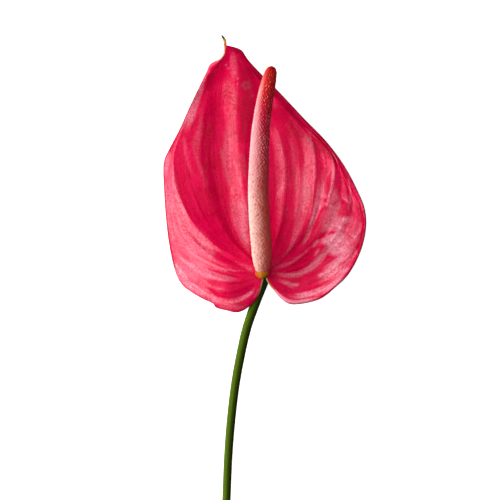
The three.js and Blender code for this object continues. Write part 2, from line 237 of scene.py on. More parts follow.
# Creases in the right lobe, in plan: their points, their depth and their half width
CREASES = (
    (((46, 15), (43.5, 11), (37.5, 7.5), (31.8, 3.5), (27, -1)), 0.45, 0.9),
    (((43.5, 11), (48, 9.5), (51.5, 6)), 0.3, 0.8),
    (((37.5, 7.5), (42, 2.5), (45.5, -0.5)), 0.25, 0.8),
    (((34, 27), (38, 25.5), (41, 27.5)), 0.3, 0.9),
    (((33.5, 19), (37.5, 22), (40, 21)), 0.25, 0.8),
    (((47, 25), (50, 22), (52.5, 17)), 0.25, 0.7),
    (((30, -17), (36, -15.5), (41, -16)), 0.3, 0.8),
)
# Small marks, in plan: the middle and the radius of each dull bruise and of each pale speck
BRUISES = (
    ((-3.5, 82.3), 0.9), ((-2.6, 83.6), 0.7), ((-0.9, 83.4), 0.8), ((-0.6, 81.4), 0.9), ((-2.2, 80.8), 0.7),
    ((1.2, 77), 0.4), ((18.5, 20.5), 0.5), ((56.3, 7), 0.6),
)
SPECKS = (
    ((-12, 92.3), 0.4), ((-10.8, 90.6), 0.4), ((-7.3, 88.2), 0.3), ((-6, 85.6), 0.4), ((-6.4, 83), 0.35),
    ((-20.4, 18.7), 0.22), ((-24, 24.3), 0.22), ((38.5, 49), 0.2),
)
# Brush strokes of pale painted sheen on the crimson wax, where it catches the light, in plan, each
# laid over those before it: how pale, how soft its edge is, and its points with their half widths
PAINTED_SHEEN_STROKES = (
    # the left margin and the left lobe
    (0.2, 0.25, ((-41.5, 46, 2.4), (-41, 34, 4), (-40, 23, 5.4), (-37.4, 13.5, 6), (-32, 7, 6.6),
     (-26.4, 2, 6.4), (-23.5, -4, 6), (-23, -9, 4))),
    (0.34, 0.5, ((-41, 51, 0.5), (-41.4, 46.5, 1.5), (-42, 41, 1.2), (-42.4, 35, 0.6))),
    (0.45, 0.6, ((-38.6, 47, 0.5), (-38.5, 38, 0.6), (-37.4, 31, 0.8), (-35.2, 24, 0.9), (-32.6, 18.5, 0.8),
     (-29, 13, 0.5))),
    (0.3, 0.6, ((-27, 7, 1.5), (-23, 2.5, 1.8), (-20, -2, 2), (-19.5, -5, 1))),
    (0.36, 0.3, ((-39.5, 0, 2.5), (-37, -8, 4), (-31, -16, 4.5), (-24, -20.6, 3.2), (-18, -24.6, 1.8),
     (-12, -27.4, 1.4))),
    (0.42, 0.4, ((-33, -5, 2), (-26, -9, 2.6), (-20, -12.2, 2), (-13, -14, 1.4), (-4, -15, 0.5))),
    (0.03, 0.5, ((-21.5, -7.2, 0.4), (-19, -8.6, 1), (-16, -9.8, 0.6), (-12, -11, 1), (-4, -12, 1))),
    (0.14, 0.6, ((-38, -1, 0.4), (-33, -7, 0.6), (-28, -11, 0.8), (-23, -14.2, 0.9))),
    (0, 0.4, ((-23, -14.6, 0.4), (-19, -16, 1.2), (-14, -17.4, 1.6), (-8, -18.2, 2.1), (-2, -17.5, 2.1),
     (3, -14.5, 1.2))),
    (0.2, 0.5, ((-27, -12.6, 0.5), (-23, -15.4, 0.5), (-19.5, -18.2, 0.6), (-16, -19.9, 0.5),
     (-10, -20.8, 0.4))),
    (0.02, 0.5, ((-24, -18, 0.3), (-20, -19.8, 0.4), (-15, -22, 0.8), (-8, -22.4, 1), (-2, -20.5, 0.8))),
    (0.5, 0.5, ((3, -17.8, 0.3), (1, -20.8, 0.6), (-2.5, -23.4, 0.8), (-6.5, -25.4, 0.8), (-11, -26, 0.7),
     (-15, -25, 0.4))),
    (0, 0.5, ((3.2, -19.6, 0.3), (1.5, -22, 0.6), (-1.5, -25, 0.8), (-6, -27, 0.6))),
    (0.2, 0.5, ((4.6, -18, 0.4), (3.4, -21.6, 0.4), (1.4, -25, 0.4))),
    (0.22, 0.5, ((0, -27, 0.6), (-5, -28.6, 1), (-10, -28.6, 1.1), (-15, -27.6, 0.9), (-18, -26.4, 0.6))),
    (0.9, 0.6, ((-38, -5, 0.4), (-36.5, -9, 0.9), (-33.5, -12.3, 1.2), (-30, -14.7, 0.7))),
    (0.75, 0.6, ((-34, -14.5, 0.4), (-31, -17.6, 0.8), (-28, -18.6, 0.6))),
    (0.65, 0.6, ((-30.5, -15.6, 0.4), (-27, -18, 0.6), (-24, -20, 0.4))),
    (0.5, 0.6, ((-37.5, 0, 0.4), (-34.5, -4, 0.7), (-30, -7.4, 0.8), (-25, -10, 0.6))),
    (0.45, 0.6, ((-34, 4, 0.4), (-29, -1.4, 0.6), (-24, -4.8, 0.5), (-18.5, -7.4, 0.45), (-13, -9.3, 0.4),
     (-7, -10.3, 0.3), (0, -10.8, 0.3))),
    (0.25, 0.6, ((-9, -5.4, 0.3), (-5, -7, 0.4), (-1, -8.8, 0.9), (2.6, -10.6, 1.2))),
    # the upper left
    (0.5, 0.4, ((-21.4, 89, 0.5), (-24.8, 80.5, 1.4), (-28, 72, 1.9), (-30.5, 65.5, 2.4),
     (-33.6, 58.4, 1.6))),
    (0.13, 0.5, ((-24.4, 76, 0.5), (-24.4, 68, 0.8), (-25, 60, 1.4), (-27, 53, 1.8), (-26.4, 46, 0.9),
     (-24.4, 40, 0.7), (-22.6, 33, 0.6), (-21.6, 26, 0.4))),
    (0.13, 0.6, ((-33.5, 60, 0.5), (-32.6, 53, 0.8), (-31.4, 46, 0.7), (-30.4, 41, 0.6), (-27.5, 36, 0.8))),
    # left of the midrib
    (0.22, 0.8, ((-8.7, 99.5, 0.8), (-8.4, 95, 1.4), (-8.2, 90, 1.6), (-7.6, 84, 1.4))),
    (0.26, 0.8, ((-11.6, 64, 0.6), (-11.6, 54, 1.6), (-11.2, 46, 2), (-11, 37, 1.4), (-10.6, 28, 0.5))),
    (0.1, 0.8, ((-4.4, 50, 1), (-3.8, 42, 1.6), (-3.4, 34, 1.4))),
    (0.22, 0.7, ((-9.2, 28, 1), (-8, 18, 1.6), (-6.6, 9, 1))),
    (0.48, 0.9, ((-2.6, 30, 0.6), (-3.6, 23, 2), (-4, 17, 2.8), (-3.2, 9, 2.3), (-1.8, 3, 1.3),
     (-0.4, -3, 0.6))),
    (0.3, 0.7, ((-15, 53, 0.3), (-13.5, 46, 0.6), (-11.5, 39, 0.6), (-9.5, 31, 0.4))),
    (0.3, 0.7, ((-8.6, 47, 0.3), (-7, 41, 0.5), (-5.4, 35, 0.5), (-4, 30, 0.4))),
    # right of the spadix
    (0.15, 0.5, ((11.4, 66, 0.5), (13, 58, 1.5), (14.2, 50, 2), (14.6, 42, 2.2), (14.8, 34, 2), (15, 26, 1.5),
     (14.8, 18, 1.2), (13.5, 10, 0.6), (12.3, 3, 0.3))),
    (0.3, 0.6, ((12.4, 63, 0.3), (14.4, 56, 0.4), (16.4, 48, 0.5), (17.2, 40, 0.6), (16.8, 32, 0.6),
     (15.4, 23, 0.5))),
    (0.08, 0.6, ((18.4, 44, 0.5), (18.8, 36, 1), (18.4, 29, 0.8))),
    (0.09, 0.5, ((19.5, 61, 0.6), (21, 54, 0.9), (22.2, 46, 1.4), (22.4, 38, 1.1), (22.8, 31, 1.1),
     (22.6, 23, 1.2))),
    (0.34, 0.5, ((24.4, 44, 0.2), (24.8, 36, 0.3), (24.4, 28, 0.3), (23, 20, 0.3), (21.4, 12, 0.3))),
    (0.32, 0.6, ((28.6, 60.4, 0.3), (30, 56.6, 0.35), (31.5, 51, 0.5), (32.2, 43, 0.5), (32, 34, 0.5),
     (30.6, 26, 0.5))),
    (0.22, 0.4, ((28.2, 48, 0.8), (28.6, 42, 2.4), (28.4, 33, 2.8), (27, 24, 3), (25.6, 16, 2.8),
     (22.8, 8, 1.6), (20.5, 2, 0.8), (17, -3, 0.5), (13, -6.5, 0.3))),
    (0.46, 0.5, ((36, 42, 0.4), (35.8, 33, 1.8), (35, 26.5, 2), (33.6, 20.5, 2), (31.4, 13.5, 1.5),
     (29.2, 8, 1.1), (26.6, 3.6, 0.7), (24, 0.5, 0.4))),
    (0, 0.5, ((32.8, 37, 0.3), (32.2, 30, 0.4), (31, 23.5, 0.5), (29, 17, 0.7), (27, 11.4, 0.8),
     (24.6, 6.6, 0.8), (22, 2.4, 0.6), (20, -0.6, 0.5))),
    # the painted sheen cloud on the right lobe
    (0.4, 0.5, ((42.2, 33, 0.6), (42.4, 28, 1.2), (42.2, 22, 2.8), (40.6, 15, 3.6), (37.8, 10, 2),
     (34, 7.2, 0.8))),
    (0.34, 0.5, ((52, 23, 0.8), (51.8, 16.5, 2.5), (50.5, 8.5, 3), (48, 2, 3.5), (47, -4, 3.5), (45, -9, 3),
     (41, -12, 3), (36, -14.6, 2.4), (32.6, -15.4, 1.4))),
    (0.05, 0.6, ((40.6, 21.4, 0.4), (42.6, 23.6, 0.6), (45, 25.4, 0.4))),
    (0.08, 0.6, ((43.4, 19.2, 0.8), (45.4, 18.2, 1.1), (47.2, 20, 0.7))),
    (0.12, 0.6, ((46, 30, 1), (48, 25, 1), (50, 22.6, 0.6))),
    (0.4, 0.5, ((48, 38, 0.25), (49.6, 33, 0.3), (50.1, 27, 0.3), (49.5, 22.5, 0.4), (47.8, 18, 0.3))),
    (0.66, 0.8, ((42, 11.5, 1), (44.5, 13.8, 1.8), (47.5, 15.2, 1.4), (51, 15.2, 0.8))),
    (0.85, 0.7, ((34.4, 3.4, 0.8), (37, 4.2, 1.4), (40, 5.8, 1.8), (43, 8, 1.8), (45.4, 11, 1.4),
     (46, 13.6, 0.8))),
    (0.85, 0.8, ((37.4, 1.4, 1.4), (41, 2.4, 2.6), (45.5, 4.2, 3), (49.5, 6.4, 1.8))),
    (0.85, 0.8, ((38, -1.2, 1), (42, -0.8, 1.6), (46.5, 0, 1.8), (49.5, 1.4, 1))),
    (0.3, 0.6, ((41, 3, 0.4), (43, 3.4, 0.5), (45.4, 2.8, 0.4))),
    (0.12, 0.6, ((50.6, 1.8, 0.9), (53, 4.2, 1.5), (55.3, 7.4, 1.1))),
    (0.6, 0.6, ((55.8, 15, 0.4), (54.5, 10, 0.5), (52.5, 6.5, 0.6), (50.5, 4, 0.5))),
    (0.8, 0.7, ((35.6, -10.9, 0.8), (40, -8.8, 1.4), (44, -5.2, 1.2), (47.6, -1.4, 0.9))),
    (0.2, 0.6, ((43.2, -8, 0.8), (46.4, -6.6, 1.1), (49, -5.4, 0.8))),
    (0.75, 0.7, ((40, -10.4, 0.7), (43.5, -10.9, 1.2), (47, -10.2, 1.1), (50, -7.8, 0.6))),
    (0.5, 0.6, ((51.6, 1, 0.4), (52.8, -0.6, 0.5), (51.4, -3.4, 0.5), (50, -6, 0.4))),
    (0.6, 0.7, ((33, -13.4, 0.8), (37, -12.3, 1), (41.5, -12.8, 1.1), (45.5, -12.6, 0.9))),
    (0.12, 0.5, ((33, -16.6, 0.4), (37, -16.6, 0.5), (41, -14.6, 0.5))),
    # the dark folds and the painted sheen fans of the right lobe
    (0, 0.5, ((38.9, 29.5, 0.2), (37.7, 25, 0.5), (36, 20, 0.9), (34, 15, 1.2), (32.2, 11, 1.3),
     (31, 7.4, 1.1), (29.8, 4, 1.1), (27.6, 1, 1.1), (23.5, -2, 1.1), (18, -5, 0.8))),
    (0.5, 0.5, ((41.4, 46, 0.6), (41.6, 38, 0.7), (40.3, 29.5, 0.5), (38.9, 24.5, 0.4), (37.8, 20.5, 0.3))),
    (0, 0.5, ((44.8, 10.2, 0.3), (42.4, 8.9, 0.6), (38.6, 8.4, 0.9), (35, 6.2, 0.7), (31.5, 3.4, 0.7))),
    (0.22, 0.6, ((10.5, -9.2, 0.4), (15, -8.3, 0.8), (20, -6.4, 0.8), (24, -3.8, 0.6), (27.5, -1, 0.5),
     (30, 1.8, 0.4))),
    (0, 0.5, ((13, -10.3, 0.4), (18, -9.9, 0.6), (23.4, -8.6, 0.9), (27.4, -6.4, 1.1), (31, -3.6, 1.2),
     (33.6, -0.6, 0.9), (35.6, 2.4, 0.6))),
    (0.5, 0.6, ((31, 1.2, 0.4), (33, 3.4, 0.9), (34.6, 5.6, 0.6))),
    (0.5, 0.6, ((31.4, -3.4, 0.3), (33.4, -1.2, 0.5), (34.6, 1, 0.4))),
    (0.5, 0.6, ((9.6, -11.2, 0.5), (15, -12.3, 1), (20, -12.6, 1), (25, -11.7, 1.1), (29.4, -9.5, 1.4),
     (33, -6.5, 1.6), (35.8, -3.3, 1.5), (37.9, -0.3, 1.3), (39.2, 3, 1))),
    (0, 0.5, ((11, -14.1, 0.5), (17, -14.6, 0.5), (22, -14.6, 0.7), (27, -13.3, 1.1), (31.4, -11.5, 1.2),
     (35, -9, 1.2), (38.2, -6.4, 1))),
    (0.36, 0.6, ((13.2, -15, 0.4), (17, -16, 0.8), (20, -17.2, 0.9), (22.8, -19, 0.5))),
    (0.65, 0.6, ((20.4, -16.7, 0.3), (22.6, -17.1, 0.6), (25, -17, 0.4))),
    (0, 0.5, ((13.6, -18, 0.6), (17.6, -20.2, 0.8), (24, -20.3, 0.7), (30, -19.3, 0.7), (34, -18.2, 0.4))),
    (0.02, 0.5, ((24, -18.4, 1), (28, -17, 1.4), (31.4, -15.8, 1.1))),
    (0.85, 0.6, ((17, -22.4, 0.3), (22, -22.9, 0.6), (27, -22.4, 1.1), (32, -21.1, 1.1), (37, -19.4, 1.1),
     (42, -16.6, 1.1), (46, -13.2, 0.9), (49, -9.8, 0.5))),
    (0.05, 0.6, ((17.5, -24.3, 0.4), (23, -24.3, 0.4), (28, -24, 0.4), (33, -22.8, 0.4), (38, -20.4, 0.4))),
    (1.3, 0.5, ((9.4, -17.4, 0.5), (12, -20.4, 0.8), (15.6, -23.6, 0.9), (19.5, -25.8, 0.8), (25, -26, 0.6),
     (31, -25.1, 0.6), (36, -23.2, 0.5))),
    (0, 0.6, ((57.2, 20, 0.7), (57.4, 12, 0.7), (56.5, 5, 0.8), (54, -1.7, 0.8), (50.8, -8, 0.6),
     (46.8, -13, 0.5), (42, -17.8, 0.4))),
)
# The cream rim of the hollow beside the tip, written like the strokes of the painted sheen
CREAM = (
    (0.9, 0.5, ((-12.2, 103, 0.4), (-12.8, 100.4, 0.6), (-13.6, 97.6, 0.7), (-15.3, 95.2, 0.5),
     (-18, 93.8, 0.2))),
)
# Strokes where the wax is dull, written likewise
DULL = (
    (0.9, 0.5, ((9.5, 78, 1), (10.4, 70, 1.6), (10.8, 64, 1.4), (10.4, 56, 1))),
    (0.9, 0.5, ((12, 76, 1.5), (17, 70, 2.5), (22, 63, 2.6), (26.5, 58.5, 2.4), (28, 53, 1.4))),
    (0.9, 0.5, ((30, 60, 1.5), (34, 55, 2.6), (38, 50, 2.6), (39, 46, 1.8), (37.5, 41, 1))),
    (0.8, 0.5, ((45, 46, 1), (45.8, 38, 1.8), (46.6, 29, 1.6))),
    (0.5, 0.6, ((-11, 86, 2), (-12.8, 77, 3.2), (-12.6, 68, 3.2), (-11.8, 59, 2))),
    (0.3, 0.6, ((-8, 52, 2), (-8, 40, 2.5), (-7.6, 28, 2.5))),
    (0.9, 0.5, ((-23.5, -14.6, 0.8), (-19, -16, 1.8), (-15, -16.8, 1.8), (-10, -17.5, 1.2))),
    (0.9, 0.5, ((-16.5, 0.5, 0.8), (-11, -3, 1.6), (-6, -5.2, 1.4), (-1, -8, 1))),
    (0.9, 0.5, ((36.4, 19, 0.7), (34.4, 14.5, 1.3), (32.5, 10.5, 1.3), (31, 7, 1.1), (29.5, 4, 0.8))),
    (0.8, 0.5, ((28, -13, 0.8), (32.5, -11, 1.3), (36, -8.4, 1.3), (39, -6, 0.8))),
    (0.9, 0.5, ((48, 39, 0.6), (50.8, 33, 1.6), (53.4, 27, 2.2), (55.8, 21, 1))),
    (0.5, 0.6, ((16.8, 62, 0.6), (18.2, 54, 1), (18.6, 44, 1.2), (18.4, 35, 0.8))),
)
# Strokes where the crimson is deeper, written likewise; those beside the notch are painted shade under the
# neck
DEEP_AND_SHADE_STROKES = (
    (0.46, 0.8, ((-6, 97, 1.5), (-3.5, 90, 2.4), (-1.5, 82, 3.4), (-1, 72, 3.8), (-2, 60, 2.6),
     (-3, 50, 1.4))),
    (0.42, 0.8, ((10, 78, 2), (15, 70.5, 3.4), (21, 63, 3), (28, 56, 2), (35, 49.5, 2), (42, 43, 1.6))),
    (0.6, 0.9, ((-2, 92, 0.6), (1, 88.8, 1.1), (4.2, 85.4, 1.2), (7, 81.8, 1))),
    (0.7, 0.7, ((30, 58.8, 0.4), (34, 54.6, 0.7), (37.4, 50.8, 0.9), (41, 46.2, 0.8), (45, 40.2, 0.6))),
    (0.45, 0.8, ((-17.6, 91, 1), (-19.8, 85, 1.6), (-20.6, 78, 1.6))),
    (0.32, 0.8, ((-2, -12, 0.6), (2.4, -13, 1.2), (5, -14.4, 1.4), (4.6, -17, 0.8))),
    (0.32, 0.8, ((8.4, -12.6, 0.8), (10.4, -13.6, 1.3), (12.6, -15.8, 0.8))),
)
# Folds that fan out from the notch in the lobes: the panel, the depth and the number of waves
LOBE_FOLDS = ((0, 0.4, 1.5), (1, 0.6, 2), (8, 0.3, 1.5), (9, 0.6, 2.5), (10, 0.45, 1.5))

# Colours, as screen values from 0 to 255
CRIMSON = (208, 0, 52)
BRIGHT_CRIMSON = (244, 8, 84)
# The deeper crimson is also the painted shade beside the notch
DEEP_CRIMSON_AND_SHADE = (150, 0, 26)
# The colour of the painted sheen, a painted highlight where the wax faces the light
PAINTED_SHEEN_PINK = (247, 144, 166)
NOTCH_RIM = (176, 176, 84)
CREAM_RIM = (252, 206, 160)
# What lies on the crimson and its painted sheen, in turn: the fact that it follows, how much of it
# is laid at most, and its colour. The edge shade is painted shade along the right margin.
SPATHE_MARKS = (
    ("speck", 0.4, (250, 170, 180)), ("bruise", 0.34, (160, 100, 130)), ("under", 0.5, (226, 96, 124)),
    ("edge_shade", 0.7, (140, 0, 26)),
)
# Colours along a piece, each at its share of the length
TIP_STOPS = (
    (0.0, (225, 100, 60)), (0.3, (225, 170, 60)), (0.58, (170, 140, 20)), (0.72, (40, 30, 10)),
    (1.0, (8, 7, 6)),
)
# Floret colours along the spadix: the pale ones on the left flank, partly painted light; the ripe ones on the
# right flank as painted shade, and in the seams
LIT_PALE_FLORETS = (
    (0.0, (240, 210, 196)), (0.34, (242, 216, 204)), (0.575, (238, 186, 186)), (0.75, (246, 180, 190)),
    (0.88, (246, 172, 168)), (0.95, (230, 96, 80)), (1.0, (206, 30, 20)),
)
SHADED_RIPE_FLORETS = (
    (0.0, (206, 88, 72)), (0.34, (206, 78, 68)), (0.575, (196, 38, 62)), (0.75, (194, 2, 54)),
    (0.88, (194, 1, 22)), (1.0, (186, 4, 4)),
)
STIGMAS = (
    (0.0, (180, 82, 78)), (0.45, (182, 86, 82)), (0.6, (246, 184, 178)), (0.9, (246, 140, 120)),
    (1.0, (226, 80, 60)),
)
# A painted reflection of the spathe's red along the spadix's right edge
PAINTED_SPATHE_REFLECTION = (232, 20, 60)
STEM_GREEN = (72, 98, 2)
STEM_LIGHT_GREEN = (88, 114, 8)
# Painted shade on the stem's right flank, and painted shade with a bluer tint on its head under the flower
STEM_PAINTED_SHADE = (38, 52, 3)
STEM_HEAD_SHADE = (34, 54, 40)
NECK_OCHRE = (186, 124, 20)
NECK_ORANGE = (194, 72, 18)
# Painted shade below the neck's collar
NECK_FOOT_SHADE = (54, 44, 14)
FLOOR_GREY = (250, 250, 250)
FLOOR_WHITE = (254, 254, 254)


# ---- curves

def smooth_curve(points, places):
    """Points on the centripetal Catmull-Rom curve through points, at places from 0 to 1."""
    knots = np.asarray(points, float)
    knots = np.vstack([2 * knots[0] - knots[1], knots, 2 * knots[-1] - knots[-2]])
    spans = len(knots) - 3
    place = np.clip(np.asarray(places, float), 0, 1) * spans
    first = np.minimum(place.astype(int), spans - 1)
    share = (place - first)[:, None]
    p0, p1, p2, p3 = (knots[first + step] for step in range(4))
    step0, step1, step2 = (
        np.maximum(np.linalg.norm(b - a, axis=1), 1e-6)[:, None] ** 0.5
        for a, b in ((p0, p1), (p1, p2), (p2, p3)))
    leave = ((p1 - p0) / step0 - (p2 - p0) / (step0 + step1) + (p2 - p1) / step1) * step1
    arrive = ((p2 - p1) / step1 - (p3 - p1) / (step1 + step2) + (p3 - p2) / step2) * step1
    square = -3 * p1 + 3 * p2 - 2 * leave - arrive
    cube = 2 * p1 - 2 * p2 + leave + arrive
    return ((cube * share + square) * share + leave) * share + p1


def smooth_step(value, low, high):
    """0 at low and below, 1 at high and above, with soft ends between."""
    share = np.clip((value - low) / (high - low), 0, 1)
    return share * share * (3 - 2 * share)


class Line:
    """A smooth line that is read by the share of its length."""

    def __init__(self, points, samples=2400):
        self.points = points
        self.places = np.linspace(0, 1, samples)
        steps = np.linalg.norm(np.diff(smooth_curve(points, self.places), axis=0), axis=1)
        self.lengths = np.concatenate([[0], np.cumsum(steps)])
        self.length = self.lengths[-1]

    def place(self, shares):
        """The places on the curve, from 0 to 1, at shares of the length."""
        return np.interp(np.asarray(shares, float) * self.length, self.lengths, self.places)

    def at(self, shares):
        return smooth_curve(self.points, self.place(shares))

    def between(self, shares, values):
        """Values at shares of the length, from those at the line's points."""
        return np.interp(self.place(shares), np.linspace(0, 1, len(values)), values)

    def frames(self, shares):
        """Centres, and the directions along, right and up at shares of the length."""
        shares = np.asarray(shares, float)
        step = 1e-4
        along = self.at(np.minimum(shares + step, 1)) - self.at(np.maximum(shares - step, 0))
        along /= np.linalg.norm(along, axis=1)[:, None]
        right = np.cross(along, (0, 0, 1))
        right /= np.linalg.norm(right, axis=1)[:, None]
        return self.at(shares), along, right, np.cross(right, along)


# ---- the spathe's form

def panel_shares():
    """Where each column of the blade's grid stands, from 0 at the left margin to 1 at the right."""
    starts = [
        (panel + column / columns) / PANELS
        for panel, columns in enumerate(PANEL_COLUMNS) for column in range(columns)]
    return np.array(starts + [1.0])


def blade_middle():
    """The middle surface: rows from the notch to the tip, columns from left to right."""
    shares = panel_shares()
    lines = [
        Line((NOTCH, *points, (TIP[0] + (index / PANELS - 0.5) * TIP_POINT_WIDTH, TIP[1], TIP[2])))
        for index, points in enumerate(BLADE_LINES)]
    along = np.linspace(0, 1, BLADE_ROWS + 1)
    ribs = np.stack([
        line.at(NOTCH_RADIUS / line.length + (1 - NOTCH_RADIUS / line.length) * along)
        for line in lines], axis=1)
    rows = np.stack([smooth_curve(rib, shares) for rib in ribs])
    panel = np.minimum((shares * PANELS + 1e-9).astype(int), PANELS - 1)
    dips = np.array(PANEL_DIPS)[panel] * np.sin(np.pi * (shares * PANELS - panel))
    widths = np.linalg.norm(np.diff(ribs, axis=1), axis=2)
    room = smooth_step(widths, 0, FULL_DIP_WIDTH)[:, panel] * low_share(along)[:, None]
    rows[:, :, 2] -= dips[None, :] * room * (np.sin(np.pi * along)[:, None].clip(0) ** DIP_POWER)
    return shares, along, rows


def blade_measures(rows):
    """How far each point of the grid is from the left and the right margin, along its row, and
    from the notch, along its column."""
    across = np.linalg.norm(np.diff(rows, axis=1), axis=2)
    from_left = np.pad(np.cumsum(across, axis=1), ((0, 0), (1, 0)))
    down = np.linalg.norm(np.diff(rows, axis=0), axis=2)
    from_notch = np.pad(np.cumsum(down, axis=0), ((1, 0), (0, 0)))
    return from_left, from_left[:, -1:] - from_left, from_notch


def across_at(shares, from_left, panel):
    """How far from the left margin each row is at a place across the blade, in panels."""
    return np.array([np.interp(panel / PANELS, shares, row) for row in from_left])[:, None]


def blade_relief(shares, along, rows, from_left):
    """How high the veins, the lobes' soft folds and the creases stand on the sheet."""
    height = np.zeros(from_left.shape)
    fade = (np.clip(along / VEIN_FADE[0], 0, 1) * np.clip((1 - along) / VEIN_FADE[1], 0, 1))[:, None]
    low = low_share(along)[:, None]
    for panel, rise, left, right in FINE_VEINS:
        at_vein = across_at(shares, from_left, panel)
        room = np.minimum(
            at_vein - across_at(shares, from_left, panel - 1),
            across_at(shares, from_left, panel + 1) - at_vein)
        distance = from_left - at_vein
        far = np.sqrt(distance ** 2 + VEIN_CREST ** 2) - VEIN_CREST
        crest = rise * fade * low * smooth_step(room, *VEIN_ROOM)
        height += crest * np.exp(-far / np.where(distance < 0, left, right))
    lobes = lobe_share(along)[:, None]
    for panel, depth, folds in LOBE_FOLDS:
        inside = np.clip(shares * PANELS - panel, 0, 1)
        wave = np.sin(np.pi * folds * 2 * inside) * np.sin(np.pi * inside)
        width = across_at(shares, from_left, panel + 1) - across_at(shares, from_left, panel)
        height += depth * wave[None, :] * lobes * smooth_step(width, *FOLD_ROOM)
    for path, depth, half_width in CREASES:
        height -= depth * np.exp(-(path_distance(rows, path) / half_width) ** 2)
    return height


def path_distance(rows, path):
    """How far each point of the grid is, in plan, from a path of straight pieces."""
    nearest = np.full(rows.shape[:2], np.inf)
    for start, end in zip(np.array(path[:-1]), np.array(path[1:])):
        way = end - start
        share = np.clip((rows[:, :, :2] - start) @ way / (way @ way), 0, 1)
        off = rows[:, :, :2] - start - share[:, :, None] * way
        nearest = np.minimum(nearest, np.linalg.norm(off, axis=2))
    return nearest


def stroke_share(rows, strokes):
    """How much of the strokes' paint lies on each point of the grid."""
    paint = np.zeros(rows.shape[:2])
    plan = rows[:, :, :2]
    for share_laid, soft, points in strokes:
        path = smooth_curve(points, np.linspace(0, 1, STROKE_PIECES * (len(points) - 1) + 1))
        reach = np.full(paint.shape, np.inf)
        done = np.zeros(paint.shape)
        for index, (start, end) in enumerate(zip(path[:-1], path[1:])):
            way = (end - start)[:2]
            share = np.clip((plan - start[:2]) @ way / (way @ way), 0, 1)
            half_width = start[2] + (end[2] - start[2]) * share
            off = np.linalg.norm(plan - start[:2] - share[:, :, None] * way, axis=2)
            off /= np.maximum(half_width, 0.1)
            done = np.where(off < reach, (index + share) / (len(path) - 1), done)
            reach = np.minimum(reach, off)
        ends = smooth_step(np.minimum(done, 1 - done), 0, STROKE_FADE)
        paint += (share_laid - paint) * (1 - smooth_step(reach, 1 - soft, 1 + soft)) * ends
    return paint


def mark_share(rows, marks):
    """1 in the middles of small round marks, 0 outside them."""
    shares = [
        np.exp(-(np.linalg.norm(rows[:, :, :2] - centre, axis=2) / radius) ** 2)
        for centre, radius in marks]
    return np.max(shares, axis=0)


def low_share(along):
    """1 in the lower half of the blade, falling to 1 - UPPER_CALM towards the tip."""
    return 1 - UPPER_CALM * smooth_step(along, *UPPER_BAND)


def lobe_share(along):
    """1 in the two lobes beside the notch, 0 further towards the tip."""
    return smooth_step(along, *LOBE_START) * (1 - smooth_step(along, *LOBE_END))


def tip_point_rows(shares, side):
    """The grid's rows on the curled tip point, on its upper side, 1, or its lower side, -1."""
    swell = TIP_SWELL * np.sin(np.pi * TIP_POINT_SHARES)
    radii = TIP_POINT_WIDTH / 2 * (1 + swell - TIP_TAPER * TIP_POINT_SHARES ** TIP_TAPER_POWER)
    rows = np.repeat(Line(TIP_POINT).at(TIP_POINT_SHARES)[:, None, :], len(shares), axis=1)
    rows[:, :, 0] -= radii[:, None] * np.cos(np.pi * shares)
    rows[:, :, 2] += side * TIP_FLATNESS * radii[:, None] * np.sin(np.pi * shares)
    return rows


def blade_facts(shares, along, rows, edge, from_notch):
    """What the spathe's finish reads at each point of the grid."""
    edge_shade_line = smooth_curve(RIGHT_MARGIN[BRINK_START:], np.linspace(0, 1, BRINK_SAMPLES))[:, :2]
    crinkled = smooth_step(along, *CRINKLE_START) * (1 - smooth_step(along, *CRINKLE_END))
    facts = {
        "edge": edge,
        "notch": from_notch,
        "bruise": mark_share(rows, BRUISES),
        "speck": mark_share(rows, SPECKS),
        # painted sheen: pale strokes that stand in for the wax's highlights
        "painted_sheen": stroke_share(rows, PAINTED_SHEEN_STROKES),
        "wax": 1 - stroke_share(rows, DULL),
        "deep_and_shade": stroke_share(rows, DEEP_AND_SHADE_STROKES),
        "cream": stroke_share(rows, CREAM),
        # painted shade along the right margin where it curls down
        "edge_shade": 1 - smooth_step(path_distance(rows, edge_shade_line), *BRINK_WIDTH),
        "lobe": np.broadcast_to(lobe_share(along)[:, None], edge.shape),
        "crinkle": crinkled[:, None] * smooth_step(shares * PANELS, *CRINKLE_PANELS)[None, :],
    }
    facts = {
        name: np.vstack([fact, np.repeat(fact[-1:], TIP_POINT_ROWS, axis=0)])
        for name, fact in facts.items()}
    facts["tip"] = np.concatenate([np.zeros(len(rows)), TIP_POINT_SHARES])[:, None]
    return facts


def blade_skins():
    """The upper and lower skins, and what the spathe's finish reads at each point."""
    shares, along, rows = blade_middle()
    from_left, from_right, from_notch = blade_measures(rows)
    edge = np.minimum(from_left, from_right)
    middle = rows.copy()
    middle[:, :, 2] += blade_relief(shares, along, rows, from_left)
    roll = np.clip(1 - edge / ROLL_WIDTH, 0, 1) ** 2
    middle[:, :, 2] -= ROLL_DROP * roll * np.sin(np.pi * along)[:, None].clip(0)
    over = (middle[:, :, 2] - FLOOR_CLEARANCE) / FLOOR_SOFTNESS
    middle[:, :, 2] = FLOOR_CLEARANCE + FLOOR_SOFTNESS * np.logaddexp(over, 0)
    normal = np.cross(np.gradient(middle, axis=1), np.gradient(middle, axis=0))
    steep = np.abs(normal[:, :, 2]) / np.maximum(np.linalg.norm(normal, axis=2), 1e-9)
    rim = np.clip(np.minimum(edge, from_notch) / RIM_WIDTH, 0, 1)
    half = RIM_HALF + (SKIN_HALF - RIM_HALF) * np.sqrt(1 - (1 - rim) ** 2)
    rise = half / np.maximum(steep, STEEPEST)
    skins = []
    for side in (1, -1):
        skin = middle.copy()
        skin[:, :, 2] += side * rise
        skins.append(np.concatenate([skin, tip_point_rows(shares, side)]))
    return *skins, blade_facts(shares, along, rows, edge, from_notch)


